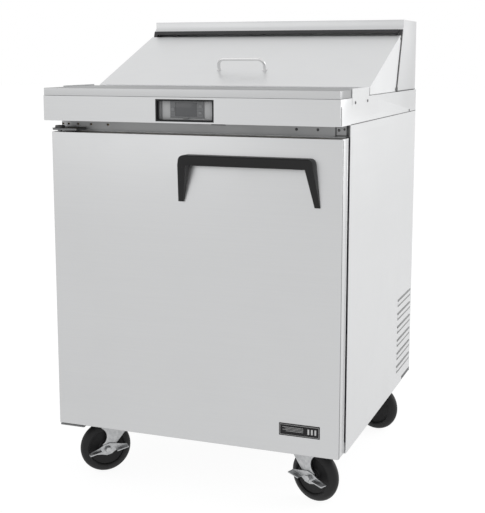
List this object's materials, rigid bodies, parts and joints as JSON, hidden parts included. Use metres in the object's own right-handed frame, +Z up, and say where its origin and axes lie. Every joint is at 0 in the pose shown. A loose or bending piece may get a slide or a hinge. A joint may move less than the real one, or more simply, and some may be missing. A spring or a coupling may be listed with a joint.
{
  "type": "sandwich prep table",
  "caption": "Stainless sandwich prep table with a hinged lid over food pans, a cutting board, a swinging cabinet door, a refrigeration unit and swivel casters.",
  "frame": {"origin": "on the floor under the middle of the counter", "axes": "+Z up, front faces -Y, +X to the right seen from the front"},
  "size_m": [0.7014, 0.762, 1.1],
  "materials": {
    "stainless": "brushed",
    "zinc_plate": "zinc plated",
    "bright_wire": "polished",
    "foam": "foam",
    "white_plastic": "satin",
    "black_plastic": "satin",
    "grey_plastic": "satin",
    "dark_steel": "satin",
    "black_paint": "gloss",
    "gasket_rubber": "matt",
    "coil_metal": "plain",
    "white_wire": "coated",
    "wheel_rubber": "matt"
  },
  "bodies": {
    "cabinet": {"left_side_panel": "stainless", "right_side_panel": "stainless", "back_panel": "stainless", "rear_grille": "stainless", "base_pan": "zinc_plate", "front_frame": "stainless", "inner_liner": "white_plastic", "cabinet_foam": "foam", "counter_top": "stainless", "front_strip": "dark_steel", "cabinet_screws": "dark_steel", "hinge_brackets": "zinc_plate", "pan_well": "stainless", "divider_bars": "stainless", "food_pans": "stainless", "board_brackets": "zinc_plate", "hood_shell": "stainless", "hood_insulation": "foam", "hood_gasket": "gasket_rubber", "lid_hinge": "dark_steel", "evaporator_coil": "coil_metal", "evaporator_cover": "white_plastic", "evaporator_motor": "black_paint", "compressor": "black_paint", "condenser_coil": "coil_metal", "condenser_motor": "black_paint", "drain_tray": "black_plastic", "cord_inlet": "black_plastic", "shelf": "white_wire", "shelf_clips": "zinc_plate", "controller_frame": "black_plastic", "controller_body": "grey_plastic", "caster_plates": "zinc_plate"},
    "door": {"door_skin": "stainless", "door_liner": "white_plastic", "door_foam": "foam", "door_gasket": "gasket_rubber", "door_handle": "black_plastic", "door_badge": "black_plastic"},
    "lid": {"lid_skin": "stainless", "lid_foam": "foam", "lid_liner": "white_plastic", "lid_tube": "bright_wire", "lid_handle": "bright_wire"},
    "board": {"cutting_board": "stainless"},
    "evaporator_blades": {"evaporator_fan": "black_plastic"},
    "condenser_blades": {"condenser_fan": "black_plastic"},
    "power_button": {"key_power": "black_plastic"},
    "up_button": {"key_up": "black_plastic"},
    "down_button": {"key_down": "black_plastic"},
    "front_left_swivel": {"front_left_fork": "zinc_plate"},
    "front_right_swivel": {"front_right_fork": "zinc_plate"},
    "rear_left_swivel": {"rear_left_fork": "zinc_plate"},
    "rear_right_swivel": {"rear_right_fork": "zinc_plate"},
    "front_left_roll": {"front_left_wheel": "wheel_rubber"},
    "front_right_roll": {"front_right_wheel": "wheel_rubber"},
    "rear_left_roll": {"rear_left_wheel": "wheel_rubber"},
    "rear_right_roll": {"rear_right_wheel": "wheel_rubber"},
    "front_left_pedal": {"front_left_brake": "zinc_plate"},
    "front_right_pedal": {"front_right_brake": "zinc_plate"}
  },
  "joints": [
    {"name": "door_hinge", "type": "hinge", "parent": "cabinet", "child": "door", "pos_m": [-0.333, -0.3377, 0.48], "axis": [0, 0, -1], "range_deg": [0, 110]},
    {"name": "lid_hinge_turn", "type": "hinge", "parent": "cabinet", "child": "lid", "pos_m": [0, 0.19, 1.053], "axis": [-1, 0, 0], "range_deg": [0, 100]},
    {"name": "board_lift", "type": "slide", "parent": "cabinet", "child": "board", "axis": [0, 0, 1], "range_m": [0, 0.06]},
    {"name": "evaporator_fan_spin", "type": "hinge", "parent": "cabinet", "child": "evaporator_blades", "pos_m": [0, 0.2543, 0.655], "axis": [0, -1, 0], "continuous": true},
    {"name": "condenser_fan_spin", "type": "hinge", "parent": "cabinet", "child": "condenser_blades", "pos_m": [0.199, 0.2838, 0.263], "axis": [1, 0, 0], "continuous": true},
    {"name": "power_key_press", "type": "slide", "parent": "cabinet", "child": "power_button", "axis": [0, 1, 0], "range_m": [0, 0.0008], "stiffness_N_per_m": 400},
    {"name": "up_key_press", "type": "slide", "parent": "cabinet", "child": "up_button", "axis": [0, 1, 0], "range_m": [0, 0.0008], "stiffness_N_per_m": 400},
    {"name": "down_key_press", "type": "slide", "parent": "cabinet", "child": "down_button", "axis": [0, 1, 0], "range_m": [0, 0.0008], "stiffness_N_per_m": 400},
    {"name": "front_left_turn", "type": "hinge", "parent": "cabinet", "child": "front_left_swivel", "pos_m": [-0.246, -0.2585, 0.14], "axis": [0, 0, 1], "continuous": true},
    {"name": "front_right_turn", "type": "hinge", "parent": "cabinet", "child": "front_right_swivel", "pos_m": [0.246, -0.2585, 0.14], "axis": [0, 0, 1], "continuous": true},
    {"name": "rear_left_turn", "type": "hinge", "parent": "cabinet", "child": "rear_left_swivel", "pos_m": [-0.262, 0.255, 0.14], "axis": [0, 0, 1], "continuous": true},
    {"name": "rear_right_turn", "type": "hinge", "parent": "cabinet", "child": "rear_right_swivel", "pos_m": [0.262, 0.255, 0.14], "axis": [0, 0, 1], "continuous": true},
    {"name": "front_left_spin", "type": "hinge", "parent": "front_left_swivel", "child": "front_left_roll", "pos_m": [-0.26532, -0.2759, 0.0625], "axis": [-0.6691, 0.7431, 0], "continuous": true},
    {"name": "front_right_spin", "type": "hinge", "parent": "front_right_swivel", "child": "front_right_roll", "pos_m": [0.27043, -0.26739, 0.0625], "axis": [-0.342, -0.9397, 0], "continuous": true},
    {"name": "rear_left_spin", "type": "hinge", "parent": "rear_left_swivel", "child": "rear_left_roll", "pos_m": [-0.28556, 0.24401, 0.0625], "axis": [-0.4226, 0.9063, 0], "continuous": true},
    {"name": "rear_right_spin", "type": "hinge", "parent": "rear_right_swivel", "child": "rear_right_roll", "pos_m": [0.28733, 0.24915, 0.0625], "axis": [-0.225, -0.9744, 0], "continuous": true},
    {"name": "front_left_brake_rock", "type": "hinge", "parent": "front_left_swivel", "child": "front_left_pedal", "pos_m": [-0.26532, -0.2759, 0.0625], "axis": [-0.6691, 0.7431, 0], "range_deg": [-14, 14]},
    {"name": "front_right_brake_rock", "type": "hinge", "parent": "front_right_swivel", "child": "front_right_pedal", "pos_m": [0.27043, -0.26739, 0.0625], "axis": [-0.342, -0.9397, 0], "range_deg": [-14, 14]}
  ]
}
